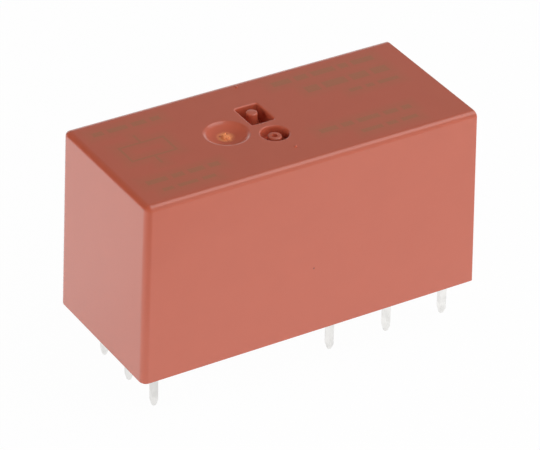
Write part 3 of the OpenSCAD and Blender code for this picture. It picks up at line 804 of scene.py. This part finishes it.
# Torn gate and pips of the cover
# The plastic that fed the mould was torn off in the dish and left a ragged stump.
# Two pips on the roof are beads of plastic from small pits in the mould.
STUMP = GATE + Vector((0.0, 0.15)) * MM
STUMP_SIZE = Vector((0.38, 0.34, 0.46)) * MM
STUMP_SINK = 0.14 * MM
STUMP_ROOT = 0.3 * MM
TEAR = 0.22 * MM
TEAR_SPAN = 0.16 * MM
TEAR_GRAIN = 0.02 * MM
PIPS = [Vector((0.17, 5.42)) * MM, Vector((-0.37, -3.92)) * MM]
PIP = 0.11 * MM
SLIVER = 0.0002 * MM

tear = bpy.data.textures.new("torn_gate", "CLOUDS")
tear.noise_scale = TEAR_SPAN
tear.noise_depth = 3
bpy.ops.object.select_all(action="DESELECT")
bpy.ops.mesh.primitive_ico_sphere_add(
    subdivisions=6, radius=1, location=(*STUMP, gate_floor - STUMP_SINK),
)
stump = settled(STUMP_SIZE)
apply_modifier(
    stump, "DISPLACE", texture=tear, texture_coords="LOCAL", direction="Z",
    strength=2 * TEAR, mid_level=0.5,
)
apply_modifier(stump, "REMESH", mode="VOXEL", voxel_size=TEAR_GRAIN)
edit(stump)
bpy.ops.mesh.bisect(
    plane_co=(0, 0, gate_floor - STUMP_ROOT), plane_no=(0, 0, 1), use_fill=True, clear_inner=True,
)
bpy.ops.object.mode_set(mode="OBJECT")
carve(cover, "UNION", stump)

for pip in PIPS:
    bpy.ops.object.select_all(action="DESELECT")
    bpy.ops.mesh.primitive_ico_sphere_add(subdivisions=3, radius=PIP, location=(*pip, top_z))
    carve(cover, "UNION", settled())

edit(cover)
bpy.ops.mesh.dissolve_degenerate(threshold=SLIVER)
bpy.ops.object.mode_set(mode="OBJECT")
smooth(cover)

# Finish of the cover
# The plastic has a fine eroded mould grain, a slight mottle and a satin skin, but the dish is dull.
# Laser marks stain the roof a faint olive: plain bars and the sign for a coil.
# The torn gate is paler, and a brown fleck sticks to the front.
CASE_RED = (0.64, 0.13, 0.066, 1)
CASE_RED_DEEP = (0.61, 0.121, 0.061, 1)
CASE_ROUGHNESS = (0.38, 0.5)
CASE_GRAIN_HEIGHT = 0.005 * MM
MARK_OLIVE = (0.46, 0.165, 0.068, 1)
MARK_ROUGHER = 0.1
MARK_EDGE = 0.1 * MM
MARK_SPECK = 0.1 * MM
MARK_SPECK_EDGE = (0.3, 0.7)
MARK_STRENGTH = (0.6, 0.9)
MARK_HAZE = 1.0 * MM
HAZE_STRENGTH = 0.25
FAR_OFF = 1.0
MARK_SPACE = 0.35
MARK_ROWS = [
    (2.6, 4.4, 0.7, (1.6, 1.1, 2.0, 0.8, 1.9)),
    (4.4, 2.6, 0.9, (1.2, 2.0, 1.5, 1.4)),
    (7.2, 1.0, 0.5, (1.1, 0.7, 1.8)),
    (2.2, -3.0, 0.6, (1.5, 1.0, 1.9, 1.2, 0.8)),
    (4.9, -4.4, 0.5, (1.8, 0.9, 1.4)),
    (-12.4, 4.4, 0.6, (0.9, 1.6, 1.2, 0.8)),
    (-12.2, -3.2, 0.6, (1.7, 1.0, 1.3, 0.9)),
    (-11.6, -4.5, 0.45, (0.9, 1.6, 1.1)),
]
LINE = 0.24
COIL_SIGN = [
    (-11.6, 0.9, LINE, 2.0), (-8.0, 0.9, LINE, 2.0),
    (-9.8, 1.9, 3.8, LINE), (-9.8, -0.1, 3.8, LINE),
    (-9.8, 2.5, LINE, 1.1), (-9.8, -0.7, LINE, 1.1),
]
TORN_PALE = (0.97, 0.37, 0.15, 1)
TORN_EDGE = (0.8 * MM, 0.35 * MM)
TORN_SPECK = 0.25 * MM
TORN_SPECK_EDGE = (0.3, 0.5)
HOLLOW_EDGE = (0.92 * rim_r, 0.76 * rim_r)
HOLLOW_ROUGHER = 0.3
FLECK_BROWN = (0.3, 0.05, 0.03, 1)
FLECK = Vector((-0.02 * MM, cover_low.y + 0.02 * MM, 5.94 * MM))
FLECK_EDGE = (0.09 * MM, 0.054 * MM)

case_plastic, here = surface("case_plastic")
along, across, upward = here.split()

strokes = list(COIL_SIGN)
for x, y, height, lengths in MARK_ROWS:
    for length in lengths:
        strokes.append((x + length / 2, y, length, height))
        x += length + MARK_SPACE
nearest = FAR_OFF
for x, y, length, width in strokes:
    past_x = abs(along - x * MM) - length * MM / 2
    past_y = abs(across - y * MM) - width * MM / 2
    past = past_x.math("MAXIMUM", past_x, past_y)
    nearest = past.math("MINIMUM", past, nearest)
stain = here.noise(MARK_SPECK, detail=3.0).ramp(*MARK_SPECK_EDGE)
marks = nearest.ramp(MARK_EDGE, -MARK_EDGE) * stain.between(*MARK_STRENGTH)
marks = marks.math("MAXIMUM", marks, nearest.ramp(MARK_HAZE, 0) * HAZE_STRENGTH)
marks = marks * upward.ramp(top_z - MARK_EDGE, top_z - MARK_EDGE / 2)

torn = here.distance_to((*STUMP, gate_floor)).ramp(*TORN_EDGE)
torn = torn * here.noise(TORN_SPECK, detail=3.0).ramp(*TORN_SPECK_EDGE)
hollow = here.distance_to((*GATE, top_z)).ramp(*HOLLOW_EDGE)
fleck = here.distance_to(FLECK).ramp(*FLECK_EDGE)

skin = here.noise(SOFT_MOTTLE, detail=3.0).tint(CASE_RED, CASE_RED_DEEP)
skin = marks.tint(skin, MARK_OLIVE)
skin = torn.tint(skin, TORN_PALE)
skin = fleck.tint(skin, FLECK_BROWN)
grain = here.noise(FINE_GRAIN, detail=3.0)
finish_surface(case_plastic, {
    "Base Color": skin,
    "Roughness": grain.between(*CASE_ROUGHNESS) + marks * MARK_ROUGHER + hollow * HOLLOW_ROUGHER,
    "Coat Weight": 1.0 - hollow,
    "Coat IOR": 1.55,
    "Coat Roughness": 0.2,
    "Normal": grain.bump(CASE_GRAIN_HEIGHT, strength=0.5),
})
coat(cover, case_plastic)
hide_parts("cover")
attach(cover, "housing")

# Table
# White board under the relay, bright to the eye and in reflections, which still takes the relay's shadow.
# Reflections see painted shade on it: its glow is painted darker in bands towards the front, the camera's
# side, and nearly black further out, in place of the dark past its edge.
TABLE_SPAN = 1.2
TABLE_Z = cad_box[0][2]
BOARD_WHITE = (0.9, 0.9, 0.9, 1)
TABLE_WHITE = (1.0, 1.0, 1.0, 1)
# Painted shade for the glow that reflections see: dimmer towards the front, nearly black further out.
TABLE_DIM = (0.9, 0.9, 0.9, 1)
TABLE_SHADE = (0.55, 0.55, 0.55, 1)
TABLE_FAR_SHADE = (0.05, 0.05, 0.05, 1)
TABLE_TURN = (-0.527, -0.85, 0)
TABLE_SHADE_BANDS = [
    (-2 * MM, 6 * MM, TABLE_DIM),
    (20 * MM, 34 * MM, TABLE_SHADE),
    (36 * MM, 50 * MM, TABLE_FAR_SHADE),
]
SHADOW_SHARE = 0.02

bpy.ops.object.select_all(action="DESELECT")
bpy.ops.mesh.primitive_plane_add(size=TABLE_SPAN, location=(0, 0, TABLE_Z))
table = bpy.context.object
table.name = "white_table"
table_white, spot = surface("white_table")
tree = table_white.node_tree
ray = tree.nodes.new("ShaderNodeLightPath")
viewed = Shade(tree, ray.outputs["Is Camera Ray"])
seen = viewed.math("MAXIMUM", viewed, Shade(tree, ray.outputs["Is Glossy Ray"]))
seen = seen.math("MAXIMUM", seen, Shade(tree, ray.outputs["Is Transmission Ray"]))
nearer = spot.node("VectorMath", {"operation": "DOT_PRODUCT"}, {0: spot, 1: TABLE_TURN}, 1)
# Reflections see the board's glow with painted shade, band by band towards the camera's side.
reflected_shade = TABLE_WHITE
for start, end, band_shade in TABLE_SHADE_BANDS:
    reflected_shade = nearer.ramp(start, end).tint(reflected_shade, band_shade)
glow_with_painted_shade = viewed.tint(reflected_shade, TABLE_WHITE)
matt = seen.node("BsdfDiffuse", {}, {"Color": BOARD_WHITE})
glow = seen.node("Emission", {}, {"Color": glow_with_painted_shade, "Strength": 1.0})
mixed = seen.node("MixShader", {}, {0: seen * (1 - SHADOW_SHARE), 1: matt, 2: glow})
tree.links.new(mixed.socket, tree.nodes["Material Output"].inputs["Surface"])
coat(table, table_white)

# Studio light
# A soft key above the front right and soft fills low at the left and the front, which leave no glints.
# An overhead lamp only glints, and draws the light line along the front's upper edge.
# The backdrop is white behind the relay and dark overhead and on the left.
SKY_BACK = (1.0, 1.0, 1.0, 1)
SKY_FRONT = (0.4, 0.4, 0.4, 1)
SKY_HIGH = (0.11, 0.11, 0.11, 1)
SKY_LEFT = (0.02, 0.02, 0.02, 1)
FRONT_TO_BACK = (-0.6, 0.1)
LOW_TO_HIGH = (0.15, 0.5)
LEFT_TO_RIGHT = (-0.4, 0.05)
AIM = Vector((0, 0, 7)) * MM
LAMP_REACH = 0.3
LAMPS = [
    ("key", (0.54, -0.52, 0.66), 0.5, 1.25, False),
    ("left_fill", (-1.0, 0.1, 0.12), 0.2, 0.66, False),
    ("front_fill", (-0.3, -1.0, 0.1), 0.25, 0.2, False),
    ("edge_glint", (0.443, 0.0, 0.89), 0.2, 0.2, True),
]

world = bpy.data.worlds.new("studio")
bpy.context.scene.world = world
world.use_nodes = True
tree = world.node_tree
outlook = Shade(tree, tree.nodes.new("ShaderNodeTexCoord").outputs["Generated"])
sideways, behind, height = outlook.split()
sky = behind.ramp(*FRONT_TO_BACK).tint(SKY_FRONT, SKY_BACK)
sky = height.ramp(*LOW_TO_HIGH).tint(sky, SKY_HIGH)
sky = sideways.ramp(*LEFT_TO_RIGHT).tint(SKY_LEFT, sky)
tree.links.new(sky.socket, tree.nodes["Background"].inputs["Color"])

for name, direction, span, level, glints in LAMPS:
    lamp = bpy.data.lights.new(name, "AREA")
    lamp.shape = "SQUARE"
    lamp.size = span
    lamp.energy = level * (math.pi * LAMP_REACH) ** 2
    stand = bpy.data.objects.new(name, lamp)
    bpy.context.collection.objects.link(stand)
    towards = Vector(direction).normalized()
    stand.location = AIM + towards * LAMP_REACH
    stand.rotation_euler = towards.to_track_quat("Z", "Y").to_euler()
    stand.visible_glossy = glints
    stand.visible_diffuse = not glints

# Camera
# The photograph's viewpoint, fitted to the outline of the case and the tips of the pins.
# It stands well back with a long lens, front left of the relay and looking down on it.
AZIMUTH = math.radians(-31.547)
ELEVATION = math.radians(32.198)
ROLL = math.radians(1.328)
DISTANCE = 257.407 * MM
TARGET_Z = 8.25 * MM
SHIFT_RIGHT = -0.024 * MM
SHIFT_UP = -1.749 * MM
PIXELS_PER_MM = 13.629
IMAGE_WIDTH = 540
SENSOR = 36.0
NEAREST_SEEN = 0.01

back = Vector((
    math.sin(AZIMUTH) * math.cos(ELEVATION),
    -math.cos(AZIMUTH) * math.cos(ELEVATION),
    math.sin(ELEVATION),
))
level_right = Vector((math.cos(AZIMUTH), math.sin(AZIMUTH), 0))
level_up = back.cross(level_right)
right = level_right * math.cos(ROLL) + level_up * math.sin(ROLL)
up = level_up * math.cos(ROLL) - level_right * math.sin(ROLL)
eye = Vector((0, 0, TARGET_Z)) + right * SHIFT_RIGHT + up * SHIFT_UP + back * DISTANCE
camera = bpy.data.cameras.new("camera")
camera.sensor_fit = "HORIZONTAL"
camera.sensor_width = SENSOR
camera.lens = PIXELS_PER_MM * DISTANCE / MM * SENSOR / IMAGE_WIDTH
camera.clip_start = NEAREST_SEEN
viewer = bpy.data.objects.new("camera", camera)
bpy.context.collection.objects.link(viewer)
viewer.matrix_world = Matrix.Translation(eye) @ Matrix((right, up, back)).transposed().to_4x4()
bpy.context.scene.camera = viewer
bpy.context.scene.view_settings.view_transform = "Standard"
